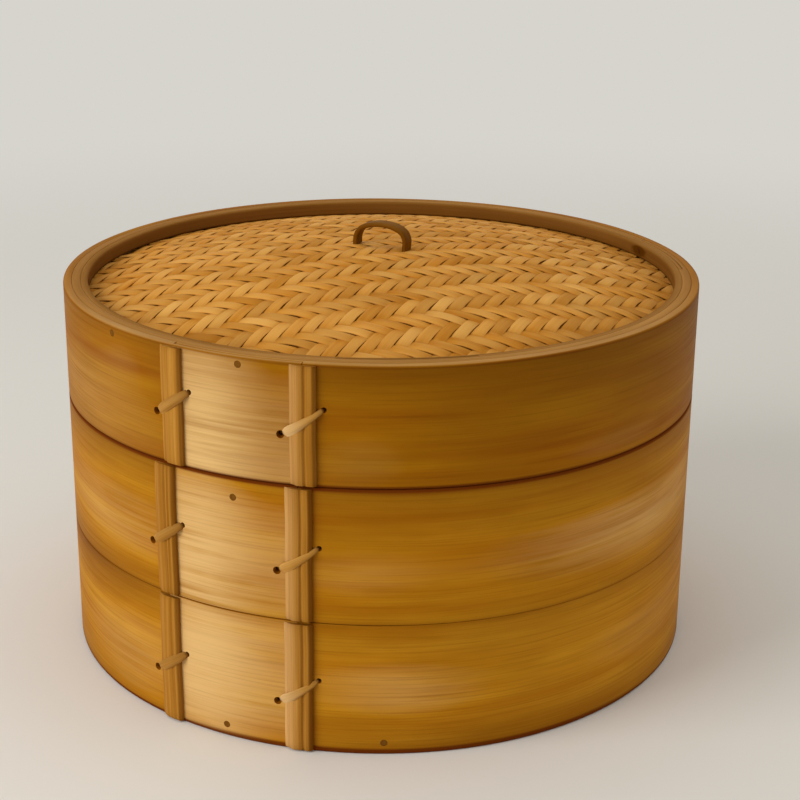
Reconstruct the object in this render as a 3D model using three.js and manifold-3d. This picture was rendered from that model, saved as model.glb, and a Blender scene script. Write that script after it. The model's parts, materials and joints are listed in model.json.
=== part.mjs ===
// Bamboo steamer: two stacked tiers with slatted floors, and a lid with a woven, domed cover.
// Millimetres, +Z up. The origin is the centre of the lower tier's bottom edge, and -Y is the front.

import * as THREE from 'three';
import { mergeVertices } from 'three/addons/utils/BufferGeometryUtils.js';
import Module from 'manifold-3d';

// Hoops. Each ring of the stack is a wall hoop, a lining inside it and narrower hoops inside that.
const outerDiameter = 254;
const tierHeight = 52;
const lidHeight = 45;
const wallThickness = 3.2;
const liningThickness = 3.2;
const collarThickness = 2.6;
const edgeChamfer = 0.6;
const hoopFacets = 52;
const innerLapLength = 50; // lap of the hoops inside the wall

// Clearances.
const plyGap = 0.3; // between pieces that are fastened together
const stackClearance = 0.4; // between a collar and the lining that slips over it

// Stacking collar and slatted floor.
const collarRise = 7; // collar above the wall's top edge
const collarHeadroom = 0.6; // above a collar that is pushed home
const floorRingHeight = 5;
const slatCount = 9;
const slatWidth = 19;
const slatThickness = 2.6;
const slatMargin = 5; // from the outermost slat to the lining
const crossbarSpacing = 110;
const crossbarWidth = 12;
const crossbarHeight = 4;

// Woven cover of the lid.
const coverThickness = 1.4;
const backingThickness = 1.2;
const coverRise = 15; // middle of the cover above its edge
const rimReveal = 5.7; // retaining ring above the cover's edge
const supportRingHeight = 4;
const coverRings = 5;

// Handle loop, a flat strip of bamboo bent over and clinched under the cover.
const handleSpan = 21.8;
const handleRise = 10.2;
const handleWidth = 5.5;
const handleThickness = 2.2;
const handleTail = 7;
const handleTurn = THREE.MathUtils.degToRad(-26);

// Lap joints of the wall hoops: a batten over each end of the lap, lashed through the hoops.
const battenWidth = 9.5;
const battenCrown = 1.8;
const battenEdge = 0.8;
const battenInset = 0.6; // from the ends of a batten to the edges of its hoop
const battenGrooveDepth = 0.5;
const battenGrooves = [-0.35, 0.42]; // across the batten, as shares of its half width
const lashingWidth = 3;
const lashingThickness = 0.9;
const lashingRise = 10; // from the lower hole to the upper one
const lashingReach = 2.4; // from the batten's side to the middle of a hole
const lashingTail = 4.5;
const lashingHoleDiameter = 4.2;
const lashingHoleMargin = 1.1; // from a hole to the edge of the hoop inside the wall
const holeFacets = 8;

// Pegs through the hoops.
const pegDiameter = 2.8;
const pegRecess = 0.5; // of a peg's end below the face it shows on
const topPegDepth = 7.5; // below the tier's top edge
const bottomPegHeight = 4.8; // above the tier's bottom edge

// Places round the wall, in degrees from the front, to the right when seen from outside.
const lowerBattens = { left: -36.8, right: -12.6 };
const upperBattens = { left: -36.8, right: -12.4 };
const lidBattens = { left: -34.6, right: -11.5 };
const lowerPegs = [-25.7, 1.4, 97];
const upperPegs = [-23.5, 108, 232];
const lidPegs = [-22.1, -49.2, 111, -80];
const tierLap = 180; // middle of the lap of the hoops inside a tier's wall
const lidLap = 102.5;
const retainingRingLap = 5;

// Radii and heights that follow from the sizes above.
const frontAngle = -Math.PI / 2;
const facetAngle = (2 * Math.PI) / hoopFacets;
const wallOuter = outerDiameter / 2;
const wallInner = wallOuter - wallThickness;
const liningOuter = wallInner - plyGap;
const liningInner = liningOuter - liningThickness;
const collarOuter = liningInner - stackClearance;
const collarInner = collarOuter - collarThickness;
const wallDepth = wallOuter - liningInner; // wall and lining together
const fullDepth = wallOuter - collarInner; // with the collar, or a ring of the lid
const floorRingBase = collarRise + collarHeadroom;
const floorRingTop = floorRingBase + floorRingHeight;
const slatBase = floorRingTop + plyGap;
const collarBase = slatBase + slatThickness + plyGap;
const coverTop = lidHeight - rimReveal - plyGap; // at the cover's edge
const backingTop = coverTop - coverThickness - plyGap;
const supportRingTop = backingTop - backingThickness - plyGap;
const supportRingBase = supportRingTop - supportRingHeight;
const lashingRun = battenWidth + 2 * lashingReach;
const lashingSlope = Math.atan2(lashingRise, lashingRun);
const lashingSpan = Math.hypot(lashingRise, lashingRun);
const lashingMargin = lashingHoleMargin + lashingHoleDiameter / 2 + lashingRise / 2;
const tierLashingHeight = collarBase + lashingMargin;
const lidLashingHeight = supportRingBase - lashingMargin;

// Materials.
const bamboo = (color, roughness) => new THREE.MeshStandardMaterial({ color, roughness, metalness: 0 });
const wallBamboo = bamboo(0xb07a33, 0.5);
const innerBamboo = bamboo(0xb9874a, 0.6);
const floorBamboo = bamboo(0xc79a58, 0.65);
const wovenBamboo = bamboo(0xc08a40, 0.6);
const battenBamboo = bamboo(0xb8883f, 0.5);
const lashingCane = bamboo(0xcfa060, 0.55);
const pegBamboo = bamboo(0x7d5520, 0.8);
const handleBamboo = bamboo(0x8a5a1e, 0.55);

// Cuts, made on solids from manifold-3d.
const wasm = await Module();
wasm.setup();

function solidOf(geometry) {
  const bare = geometry.clone();
  bare.deleteAttribute('normal');
  bare.deleteAttribute('uv');
  const merged = mergeVertices(bare);
  const vertProperties = merged.attributes.position.array;
  const triVerts = new Uint32Array(merged.index.array);
  return new wasm.Manifold(new wasm.Mesh({ numProp: 3, vertProperties, triVerts }));
}

function geometryOf(solid) {
  const { vertProperties, triVerts } = solid.getMesh();
  const geometry = new THREE.BufferGeometry();
  geometry.setAttribute('position', new THREE.BufferAttribute(vertProperties, 3));
  geometry.setIndex(new THREE.BufferAttribute(triVerts, 1));
  geometry.computeVertexNormals();
  return geometry;
}

function cut(geometry, cutters) {
  const left = cutters.reduce((solid, cutter) => solid.subtract(solidOf(cutter)), solidOf(geometry));
  return geometryOf(left);
}

// A flat outline of points, given a height and set at its base.
function plate(outline, base, height) {
  const shape = new THREE.Shape(outline);
  const geometry = new THREE.ExtrudeGeometry(shape, { depth: height, bevelEnabled: false });
  return geometry.translate(0, 0, base);
}

function named(name, geometry, material) {
  const mesh = new THREE.Mesh(geometry, material);
  mesh.name = name;
  return mesh;
}

// Points of an arc about the Z axis, with a vertex at every facet edge that it passes.
function arcPoints(radius, from, to) {
  const way = Math.sign(to - from);
  const angles = [from];
  const first = way > 0 ? Math.floor(from / facetAngle) + 1 : Math.ceil(from / facetAngle) - 1;
  for (let k = first; way * (to - k * facetAngle) > 0; k += way) {
    angles.push(k * facetAngle);
  }
  angles.push(to);
  return angles.map((angle) => new THREE.Vector2(radius * Math.cos(angle), radius * Math.sin(angle)));
}

// A strip bent into a hoop whose ends are thinned to half and lapped from one angle to the other.
function hoop({ inner, outer, base, height, lapFrom, lapTo }) {
  const middle = (inner + outer) / 2;
  const turn = 2 * Math.PI;
  const outline = [
    ...arcPoints(outer, lapTo, lapTo + turn - plyGap / outer),
    ...arcPoints(middle + plyGap / 2, lapTo + turn - plyGap / outer, lapFrom + turn),
    ...arcPoints(inner, lapFrom + turn, lapFrom + plyGap / inner),
    ...arcPoints(middle - plyGap / 2, lapFrom + plyGap / inner, lapTo),
  ];
  return plate(outline, base, height);
}

const angleAt = (place) => frontAngle + THREE.MathUtils.degToRad(place);

// A hoop inside the wall, with the middle of its lap at the given place.
function innerHoop({ inner, outer, base, height, lap }) {
  const halfLap = innerLapLength / outer / 2;
  return hoop({ inner, outer, base, height, lapFrom: angleAt(lap) - halfLap, lapTo: angleAt(lap) + halfLap });
}

// A narrow hoop inside the lining: a collar, a floor ring or a ring of the lid.
function narrowHoop(base, height, lap) {
  return innerHoop({ inner: collarInner, outer: collarOuter, base, height, lap });
}

// A wall hoop, lapped between its two battens, with the outer edges chamfered.
function wallHoop(height, battens) {
  const strip = hoop({
    inner: wallInner,
    outer: wallOuter,
    base: 0,
    height,
    lapFrom: angleAt(battens.left),
    lapTo: angleAt(battens.right),
  });
  const spare = wallThickness; // the chamfering body stands clear of the wall's face
  const profile = [
    new THREE.Vector2(0, 0),
    new THREE.Vector2(wallOuter - edgeChamfer, 0),
    new THREE.Vector2(wallOuter + spare, edgeChamfer + spare),
    new THREE.Vector2(wallOuter + spare, height - edgeChamfer - spare),
    new THREE.Vector2(wallOuter - edgeChamfer, height),
    new THREE.Vector2(0, height),
  ];
  const envelope = new THREE.LatheGeometry(profile, hoopFacets, Math.PI / 2).rotateX(Math.PI / 2);
  return geometryOf(solidOf(strip).intersect(solidOf(envelope)));
}

// Frame on the wall's outer face: X along the wall, turned up by the slope, and Y outwards.
function wallFrame(place, height, slope = 0) {
  const angle = angleAt(place);
  const outward = new THREE.Vector3(Math.cos(angle), Math.sin(angle), 0);
  const along = new THREE.Vector3(-Math.sin(angle), Math.cos(angle), 0).multiplyScalar(Math.cos(slope));
  along.z = Math.sin(slope);
  const across = new THREE.Vector3().crossVectors(along, outward);
  const origin = outward.clone().multiplyScalar(wallOuter).setZ(height);
  return new THREE.Matrix4().makeBasis(along, outward, across).setPosition(origin);
}

// Outline of a strip of even thickness that follows a path.
function stripOutline(path, thickness) {
  const points = path.getPoints(4);
  const normalAfter = (i) => {
    const way = points[i + 1].clone().sub(points[i]).normalize();
    return new THREE.Vector2(-way.y, way.x);
  };
  const side = (offset) => points.map((point, i) => {
    const before = normalAfter(Math.max(i - 1, 0));
    const after = normalAfter(Math.min(i, points.length - 2));
    const mitre = before.clone().add(after).normalize();
    return point.clone().addScaledVector(mitre, offset / mitre.dot(after));
  });
  return new THREE.Shape([...side(thickness / 2), ...side(-thickness / 2).reverse()]);
}

// A vertical batten over an end of the lap, hollowed to the wall and grooved like split bamboo.
function batten(name, place, height) {
  const seat = wallOuter + plyGap;
  const half = battenWidth / 2;
  const seatAt = (x) => Math.sqrt(seat * seat - x * x) - wallOuter;
  const crownAt = (share) => battenEdge + (battenCrown - battenEdge) * (1 - share ** 4);
  const grooveHalf = battenGrooveDepth / half;
  const shares = [-1, -0.8];
  for (const groove of battenGrooves) {
    shares.push(groove - grooveHalf, groove, groove + grooveHalf);
  }
  shares.push(0.8, 1);
  const face = shares.map((share) => {
    const depth = battenGrooves.includes(share) ? battenGrooveDepth : 0;
    return new THREE.Vector2(share * half, seatAt(share * half) + crownAt(share) - depth);
  });
  const back = [1, 0, -1].map((share) => new THREE.Vector2(share * half, seatAt(share * half)));
  const length = height - 2 * battenInset;
  const section = new THREE.Shape([...face, ...back]);
  const geometry = new THREE.ExtrudeGeometry(section, { depth: length, bevelEnabled: false });
  const mesh = named(name, geometry, battenBamboo);
  mesh.applyMatrix4(wallFrame(place, height - battenInset));
  return mesh;
}

// A cane lashing: over the batten, in through a hole on each side and clinched on the inside.
function lashing(name, place, height, depth) {
  const half = lashingSpan / 2;
  const sag = (lashingRun / 2) ** 2 / (2 * (wallOuter - depth)); // of the round wall, at a hole
  const tailLevel = -depth - sag - plyGap - lashingThickness / 2;
  const holeLevel = lashingThickness / 2;
  const crownLevel = plyGap + battenCrown + plyGap + lashingThickness / 2;
  const shoulder = half - lashingReach / 2;
  const path = new THREE.Path();
  path.moveTo(-half + lashingTail, tailLevel);
  path.lineTo(-half, tailLevel);
  path.lineTo(-half, holeLevel);
  path.quadraticCurveTo(-shoulder, crownLevel, 0, crownLevel);
  path.quadraticCurveTo(shoulder, crownLevel, half, holeLevel);
  path.lineTo(half, tailLevel);
  path.lineTo(half - lashingTail, tailLevel);
  const outline = stripOutline(path, lashingThickness);
  const geometry = new THREE.ExtrudeGeometry(outline, { depth: lashingWidth, bevelEnabled: false });
  geometry.translate(0, 0, -lashingWidth / 2);
  const mesh = named(name, geometry, lashingCane);
  mesh.applyMatrix4(wallFrame(place, height, lashingSlope));
  return mesh;
}

// Cutters for the two holes of a lashing, right through the hoops.
function lashingHoles(place, height) {
  const radius = lashingHoleDiameter / 2;
  return [-1, 1].map((side) => {
    const hole = new THREE.CylinderGeometry(radius, radius, 4 * fullDepth, holeFacets);
    hole.translate((side * lashingSpan) / 2, 0, 0);
    return hole.applyMatrix4(wallFrame(place, height, lashingSlope));
  });
}

// A peg from the wall's outer face to the given depth, and the cutter for its hole.
function peg(name, place, height, depth) {
  const length = depth - 2 * pegRecess;
  const geometry = new THREE.CylinderGeometry(pegDiameter / 2, pegDiameter / 2, length, holeFacets);
  geometry.translate(0, -depth / 2, 0);
  const mesh = named(name, geometry, pegBamboo);
  mesh.applyMatrix4(wallFrame(place, height));
  return mesh;
}

function pegHole(place, height) {
  const radius = pegDiameter / 2 + plyGap;
  const hole = new THREE.CylinderGeometry(radius, radius, 2 * fullDepth, holeFacets);
  return hole.applyMatrix4(wallFrame(place, height));
}

// A flat piece between two parallel sides, trimmed to a circle at both ends and lying along X.
function trimmedStrip(radius, low, high, base, thickness) {
  const endAngle = (y) => Math.asin(y / radius);
  const steps = 4;
  const outline = [];
  for (let k = 0; k <= steps; k += 1) {
    const angle = THREE.MathUtils.lerp(endAngle(low), endAngle(high), k / steps);
    outline.push(new THREE.Vector2(radius * Math.cos(angle), radius * Math.sin(angle)));
  }
  for (const { x, y } of outline.slice().reverse()) {
    outline.push(new THREE.Vector2(-x, y));
  }
  return plate(outline, base, thickness);
}

const floorRadius = collarOuter - plyGap;

// Slats along X, evenly spread, resting on the floor ring and held down by the collar.
function slats(tierName) {
  const reach = floorRadius - slatMargin;
  const pitch = (2 * reach - slatWidth) / (slatCount - 1);
  return Array.from({ length: slatCount }, (_, i) => {
    const low = i * pitch - reach;
    const geometry = trimmedStrip(floorRadius, low, low + slatWidth, slatBase, slatThickness);
    return named(`${tierName}_slat_${i + 1}`, geometry, floorBamboo);
  });
}

// Crossbars along Y, let into the floor ring under the slats.
const crossbarPlaces = { left: -crossbarSpacing / 2, right: crossbarSpacing / 2 };

function crossbar(name, x) {
  const base = floorRingTop - crossbarHeight;
  const low = -x - crossbarWidth / 2;
  const geometry = trimmedStrip(floorRadius, low, low + crossbarWidth, base, crossbarHeight);
  return named(name, geometry.rotateZ(Math.PI / 2), floorBamboo);
}

function floorRing(name) {
  const notchWidth = crossbarWidth + 2 * plyGap;
  const notchHeight = 2 * (crossbarHeight + plyGap);
  const notches = Object.values(crossbarPlaces).map((x) => {
    const notch = new THREE.BoxGeometry(notchWidth, outerDiameter, notchHeight);
    return notch.translate(x, 0, floorRingTop);
  });
  const ring = narrowHoop(floorRingBase, floorRingHeight, tierLap);
  return named(name, cut(ring, notches), innerBamboo);
}

// The wall with its lining, and the battens, lashings and pegs that join them.
function lashedWall(sizes) {
  const { ringName, height, lap, battens, lashingHeight, lashingDepth, pegs, pegHeight, pegDepth } = sizes;
  const group = new THREE.Group();
  const sides = Object.entries(battens);
  const holes = [
    ...sides.flatMap(([, place]) => lashingHoles(place, lashingHeight)),
    ...pegs.map((place) => pegHole(place, pegHeight)),
  ];
  const lining = innerHoop({ inner: liningInner, outer: liningOuter, base: 0, height, lap });
  group.add(named(`${ringName}_wall_hoop`, cut(wallHoop(height, battens), holes), wallBamboo));
  group.add(named(`${ringName}_lining_hoop`, cut(lining, holes), innerBamboo));
  for (const [side, place] of sides) {
    group.add(batten(`${ringName}_batten_${side}`, place, height));
    group.add(lashing(`${ringName}_lashing_${side}`, place, lashingHeight, lashingDepth));
  }
  pegs.forEach((place, i) => group.add(peg(`${ringName}_peg_${i + 1}`, place, pegHeight, pegDepth)));
  return { group, holes };
}

// One tier: its wall, the collar that the next ring slips over, and the floor.
function tier(tierName, battens, pegs, pegHeight) {
  const pegDepth = pegHeight > collarBase ? fullDepth : wallDepth;
  const { group, holes } = lashedWall({
    ringName: tierName,
    height: tierHeight,
    lap: tierLap,
    battens,
    lashingHeight: tierLashingHeight,
    lashingDepth: fullDepth,
    pegs,
    pegHeight,
    pegDepth,
  });
  const collar = narrowHoop(collarBase, tierHeight + collarRise - collarBase, tierLap);
  group.add(named(`${tierName}_collar_hoop`, cut(collar, holes), innerBamboo));
  group.add(floorRing(`${tierName}_floor_ring`));
  for (const [side, x] of Object.entries(crossbarPlaces)) {
    group.add(crossbar(`${tierName}_crossbar_${side}`, x));
  }
  group.add(...slats(tierName));
  return group;
}

// A domed sheet with a flat brim that the rings of the lid hold.
const domeRadius = collarInner - plyGap;
const brimRadius = collarOuter;

function domedSheet(edgeTop, thickness) {
  const top = [];
  for (let k = 0; k <= coverRings; k += 1) {
    const share = k / coverRings;
    top.push(new THREE.Vector2(share * domeRadius, edgeTop + coverRise * (1 - share * share)));
  }
  top.push(new THREE.Vector2(brimRadius, edgeTop));
  const underside = top.map(({ x, y }) => new THREE.Vector2(x, y - thickness));
  const outline = [...underside, ...top.reverse()];
  return new THREE.LatheGeometry(outline, hoopFacets, Math.PI / 2).rotateX(Math.PI / 2);
}

// Height of the dome above its edge, under a leg of the handle.
const legShare = handleSpan / 2 / domeRadius;
const legRise = coverRise * (1 - legShare * legShare);

const handleFrame = new THREE.Matrix4()
  .makeRotationZ(handleTurn)
  .multiply(new THREE.Matrix4().makeRotationX(Math.PI / 2));

function handleLoop(name) {
  const half = handleSpan / 2;
  const crown = coverTop + coverRise + handleRise - handleThickness / 2;
  const shoulder = coverTop + coverRise + handleRise / 4;
  const tailLevel = backingTop - backingThickness + legRise - 2 * plyGap - handleThickness / 2;
  const path = new THREE.Path();
  path.moveTo(-half + handleTail, tailLevel);
  path.lineTo(-half, tailLevel);
  path.lineTo(-half, shoulder);
  path.quadraticCurveTo(-half, crown, 0, crown);
  path.quadraticCurveTo(half, crown, half, shoulder);
  path.lineTo(half, tailLevel);
  path.lineTo(half - handleTail, tailLevel);
  const outline = stripOutline(path, handleThickness);
  const geometry = new THREE.ExtrudeGeometry(outline, { depth: handleWidth, bevelEnabled: false });
  geometry.translate(0, 0, -handleWidth / 2);
  const mesh = named(name, geometry, handleBamboo);
  mesh.applyMatrix4(handleFrame);
  return mesh;
}

function handleSlots() {
  return [-1, 1].map((side) => {
    const slot = new THREE.BoxGeometry(handleThickness + 2 * plyGap, 2 * lidHeight, handleWidth + 2 * plyGap);
    slot.translate((side * handleSpan) / 2, lidHeight, 0);
    return slot.applyMatrix4(handleFrame);
  });
}

// The lid: its wall, the woven cover between two rings, and the handle.
function lid() {
  const { group, holes } = lashedWall({
    ringName: 'lid',
    height: lidHeight,
    lap: lidLap,
    battens: lidBattens,
    lashingHeight: lidLashingHeight,
    lashingDepth: wallDepth,
    pegs: lidPegs,
    pegHeight: lidHeight - rimReveal / 2,
    pegDepth: fullDepth,
  });
  const retainingRing = narrowHoop(lidHeight - rimReveal, rimReveal, retainingRingLap);
  const supportRing = narrowHoop(supportRingBase, supportRingHeight, lidLap);
  group.add(named('lid_retaining_ring', cut(retainingRing, holes), innerBamboo));
  group.add(named('lid_support_ring', supportRing, innerBamboo));
  const cover = cut(domedSheet(coverTop, coverThickness), handleSlots());
  const backing = cut(domedSheet(backingTop, backingThickness), handleSlots());
  group.add(named('lid_woven_cover', cover, wovenBamboo));
  group.add(named('lid_woven_backing', backing, wovenBamboo));
  group.add(handleLoop('lid_handle_loop'));
  return group;
}

// The stack.
const steamer = new THREE.Group();
const lowerTier = tier('lower', lowerBattens, lowerPegs, bottomPegHeight);
const upperTier = tier('upper', upperBattens, upperPegs, tierHeight - topPegDepth);
upperTier.position.z = tierHeight;
const topLid = lid();
topLid.position.z = 2 * tierHeight;
steamer.add(lowerTier, upperTier, topLid);

export default steamer;
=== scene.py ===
# Bamboo steamer: two slatted tiers and a lid with a woven cover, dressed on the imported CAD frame.
import json
import math
import bpy
import numpy as np
from mathutils import Matrix, Vector

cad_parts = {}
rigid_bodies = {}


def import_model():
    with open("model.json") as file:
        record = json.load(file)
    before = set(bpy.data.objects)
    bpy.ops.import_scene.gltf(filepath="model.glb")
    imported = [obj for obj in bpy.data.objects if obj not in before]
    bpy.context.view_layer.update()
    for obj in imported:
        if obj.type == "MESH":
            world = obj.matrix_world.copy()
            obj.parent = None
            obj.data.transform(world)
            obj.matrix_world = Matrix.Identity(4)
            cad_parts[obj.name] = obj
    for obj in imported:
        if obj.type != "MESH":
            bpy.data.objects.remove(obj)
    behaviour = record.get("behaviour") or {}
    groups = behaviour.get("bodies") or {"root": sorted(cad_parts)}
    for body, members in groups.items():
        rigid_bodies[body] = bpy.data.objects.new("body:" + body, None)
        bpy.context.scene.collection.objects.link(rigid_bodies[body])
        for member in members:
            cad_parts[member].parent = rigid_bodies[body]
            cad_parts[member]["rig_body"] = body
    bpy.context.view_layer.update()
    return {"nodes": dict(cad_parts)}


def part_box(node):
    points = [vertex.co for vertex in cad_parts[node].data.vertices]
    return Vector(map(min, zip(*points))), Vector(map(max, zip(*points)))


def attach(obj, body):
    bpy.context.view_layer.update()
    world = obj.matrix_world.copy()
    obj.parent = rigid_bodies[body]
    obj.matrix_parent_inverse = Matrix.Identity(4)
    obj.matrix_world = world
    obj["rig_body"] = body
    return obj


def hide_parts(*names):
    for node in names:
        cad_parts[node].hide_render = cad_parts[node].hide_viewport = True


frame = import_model()
mm = 0.001
up = np.array([0.0, 0.0, 1.0])
front = -math.pi / 2  # the angle that faces the camera
fullTurn = 2 * math.pi
hands = ("left", "right")
sharpEdge = 40  # faces that meet at more degrees than this keep a sharp edge
dice = np.random.default_rng(11)
print("frame loaded:", len(frame["nodes"]), "nodes")


def boxOf(node):  # lowest and highest corner of a CAD node, in mm
    low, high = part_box(node)
    return np.array(low) / mm, np.array(high) / mm


def placeOf(node):  # angle round the axis, distance from it and height of a CAD node's middle
    x, y, z = sum(boxOf(node)) / 2
    return math.atan2(y, x), math.hypot(x, y), z


def toLinear(hexCode):  # sRGB hex to linear RGBA
    srgb = np.array([int(hexCode[i:i + 2], 16) for i in (0, 2, 4)]) / 255
    linear = np.where(srgb <= 0.04045, srgb / 12.92, ((srgb + 0.055) / 1.055) ** 2.4)
    return (*linear.tolist(), 1.0)


def addNode(tree, kind, inputs=None, **settings):  # one node, its settings, its constants and its links
    node = tree.nodes.new(kind)
    for key, value in settings.items():
        setattr(node, key, value)
    for key, value in (inputs or {}).items():
        if isinstance(value, bpy.types.NodeSocket):
            tree.links.new(value, node.inputs[key])
        else:
            node.inputs[key].default_value = value
    return node


# The camera stands where the photograph was taken: place in mm, angles in radians.
shot = {"lens": 78.80, "sensor": 36, "place": (7.87, -686.26, 333.56), "down": 0.338, "roll": 0.009}


def makeCamera():
    look = np.array([0, math.cos(shot["down"]), -math.sin(shot["down"])])
    right = np.array([1.0, 0, 0])
    above = np.cross(right, look)
    c, s = math.cos(shot["roll"]), math.sin(shot["roll"])
    turn = np.eye(4)
    turn[:3, 0] = c * right + s * above
    turn[:3, 1] = c * above - s * right
    turn[:3, 2] = -look
    turn[:3, 3] = np.array(shot["place"]) * mm
    data = bpy.data.cameras.new("camera")
    data.lens = shot["lens"]
    data.sensor_width = shot["sensor"]
    camera = bpy.data.objects.new("camera", data)
    camera.matrix_world = Matrix(turn.tolist())
    bpy.context.scene.collection.objects.link(camera)
    bpy.context.scene.camera = camera


makeCamera()
print("camera placed")


# Every bamboo finish reads the "grain" map: metres along the fibres and across them.
# The "marks" map holds two shares for each spot: how pale it is, scraped and in places a painted sheen, or
# browned where it is below zero, by steam and by painted shade; and how stained it is, in places as painted
# shade.
# In a look, each noise is as long and as wide, in mm, as its entry says, and the third number is its detail.
# Here, pairs are the values of a noise between which its effect goes from none to all.
bambooSkin = {
    "bands": (0.3, 0.7), "fibres": (0.48, 0.74), "clouds": (0.46, 0.74), "streaks": (0.4, 0.6),
    "comeAndGo": (0.36, 0.6), "gloss": (0.3, 0.7), "noiseRoughness": 0.55, "paleFibres": 0.45,
    "glossSwing": 0.07, "stainDull": 0.4, "bumpHeight": 0.15, "ior": 1.5}


def bamboo(name, look):
    material = bpy.data.materials.new(name)
    material.use_nodes = True
    tree = material.node_tree
    tree.nodes.clear()
    grain = addNode(tree, "ShaderNodeUVMap", uv_map="grain").outputs["UV"]
    marks = addNode(tree, "ShaderNodeUVMap", uv_map="marks").outputs["UV"]
    share = addNode(tree, "ShaderNodeSeparateXYZ", {"Vector": marks}).outputs
    noises = {}
    for key in ("fibre", "band", "cloud", "streak"):
        long, wide, detail = look[key]
        stretched = addNode(tree, "ShaderNodeMapping", {
            "Vector": grain, "Scale": (1 / (long * mm), 1 / (wide * mm), 1)}).outputs["Vector"]
        noises[key] = addNode(tree, "ShaderNodeTexNoise", {
            "Vector": stretched, "Scale": 1.0, "Detail": detail,
            "Roughness": bambooSkin["noiseRoughness"]}).outputs["Fac"]
    matt, shiny = look["rough"] + bambooSkin["glossSwing"], look["rough"] - bambooSkin["glossSwing"]
    effects = {}
    for key, noise, least, most in (
            ("bands", "band", 0.0, 1.0), ("fibres", "fibre", 0.0, look["thread"]),
            ("clouds", "cloud", 0.0, look["patch"]), ("streaks", "streak", look["stroke"], 1.0),
            ("comeAndGo", "cloud", 0.0, 1.0), ("gloss", "fibre", shiny, matt)):
        none, full = bambooSkin[key]
        effects[key] = addNode(tree, "ShaderNodeMapRange", {
            "Value": noises[noise], "From Min": none, "From Max": full, "To Min": least,
            "To Max": most}).outputs["Result"]
    # pale places, scraped and partly a painted sheen, have faint fibres, in streaks, partly painted glints,
    # that come and go with the clouds
    stroke = addNode(tree, "ShaderNodeMix", {
        0: effects["comeAndGo"], 2: 1.0, 3: effects["streaks"]}).outputs[0]
    paleAndSheen = addNode(tree, "ShaderNodeMath", {
        0: stroke, 1: share["X"]}, operation="MULTIPLY", use_clamp=True).outputs[0]
    faint = addNode(tree, "ShaderNodeMath", {
        0: effects["fibres"], 1: bambooSkin["paleFibres"]}, operation="MULTIPLY").outputs[0]
    straw = addNode(tree, "ShaderNodeMix", {
        0: faint, 6: toLinear(look["pale"]), 7: toLinear(look["fibreTone"])}, data_type="RGBA").outputs[2]
    brownAndShade = addNode(tree, "ShaderNodeMath", {
        0: share["X"], 1: -1.0}, operation="MULTIPLY", use_clamp=True).outputs[0]
    # each layer covers its share of those before it
    tone = toLinear(look["deep"])
    for cover, colour in (
            (effects["bands"], toLinear(look["light"])), (effects["fibres"], toLinear(look["fibreTone"])),
            (effects["clouds"], toLinear(look["patchTone"])), (paleAndSheen, straw),
            (brownAndShade, toLinear(look["brown"])), (share["Y"], toLinear(look["stain"]))):
        tone = addNode(tree, "ShaderNodeMix", {
            0: cover, 6: tone, 7: colour}, data_type="RGBA", clamp_factor=True).outputs[2]
    dull = addNode(tree, "ShaderNodeMath", {
        0: share["Y"], 1: bambooSkin["stainDull"], 2: effects["gloss"]},
        operation="MULTIPLY_ADD", use_clamp=True).outputs[0]
    relief = addNode(tree, "ShaderNodeBump", {
        "Height": noises["fibre"], "Strength": look["relief"],
        "Distance": bambooSkin["bumpHeight"] * mm}).outputs["Normal"]
    surface = addNode(tree, "ShaderNodeBsdfPrincipled", {
        "Base Color": tone, "Roughness": dull, "Normal": relief, "IOR": bambooSkin["ior"],
        "Specular IOR Level": look["shine"]}).outputs["BSDF"]
    addNode(tree, "ShaderNodeOutputMaterial", {"Surface": surface})
    return material


# Split bamboo, planed, bent round and browned by steam: soft long bands, faint fibres and a dull shine.
wallLook = {
    "deep": "b16b04", "light": "c98b16", "fibreTone": "985800", "patchTone": "a06402", "pale": "f1c682",
    "brown": "7c4802", "stain": "6c2e03", "fibre": (50, 0.8, 3.0), "band": (120, 8.0, 2.5),
    "cloud": (60, 20, 3.0), "streak": (80, 2.2, 2.5), "thread": 0.5, "patch": 0.5, "stroke": 0.82,
    "rough": 0.5, "relief": 0.2, "shine": 0.05}
# The lower ring's copy is lighter, as painted light from the floor's bounce; the lid's copy is darker, partly
# steam and partly painted shade.
lowerFinishWithPaintedLight = bamboo("splitBambooBentPlanedWithPaintedLight", {
    **wallLook, "deep": "b97408", "light": "d3941e", "stroke": 0.55})
upperFinish = bamboo("splitBambooBentAndScraped", {**wallLook, "stroke": 0.38})
lidFinishWithPaintedShade = bamboo("splitBambooBentSteamedWithPaintedShade", {
    **wallLook, "deep": "9a5800", "light": "b37808", "fibreTone": "824800", "patchTone": "8c5600",
    "stroke": 0.6, "brown": "6a3c01", "stain": "642a02"})
# The plies inside the wall: the same bamboo, unscraped and drier.
innerLook = {
    **wallLook, "deep": "a86f20", "light": "c9923c", "fibreTone": "8c5a16", "patchTone": "97631c",
    "pale": "dfb267", "fibre": (60, 0.8, 3.0), "band": (200, 4, 2.0), "cloud": (80, 12, 3.0),
    "rough": 0.58, "relief": 0.3}
innerFinish = bamboo("splitBambooInnerPly", innerLook)
# The plies at the lid's rim: the same, darkened by handling and steam, most of all on the inside, where that
# darkening is painted shade.
rimFinish = bamboo("splitBambooInnerPlyDarkened", {
    **innerLook, "deep": "a26e2c", "light": "be8843", "fibreTone": "885a20", "patchTone": "926224",
    "pale": "cc9c5a", "stain": "5c3300"})
# Planed slats: pale, dry bamboo with straight fibres.
floorFinish = bamboo("splitBambooPlanedSlat", {
    **innerLook, "deep": "c69144", "light": "e0b468", "fibreTone": "ab792e", "patchTone": "b58238",
    "pale": "ecca8c", "stain": "6a4015", "band": (150, 3.5, 2.0), "patch": 0.35, "rough": 0.6})
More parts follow.
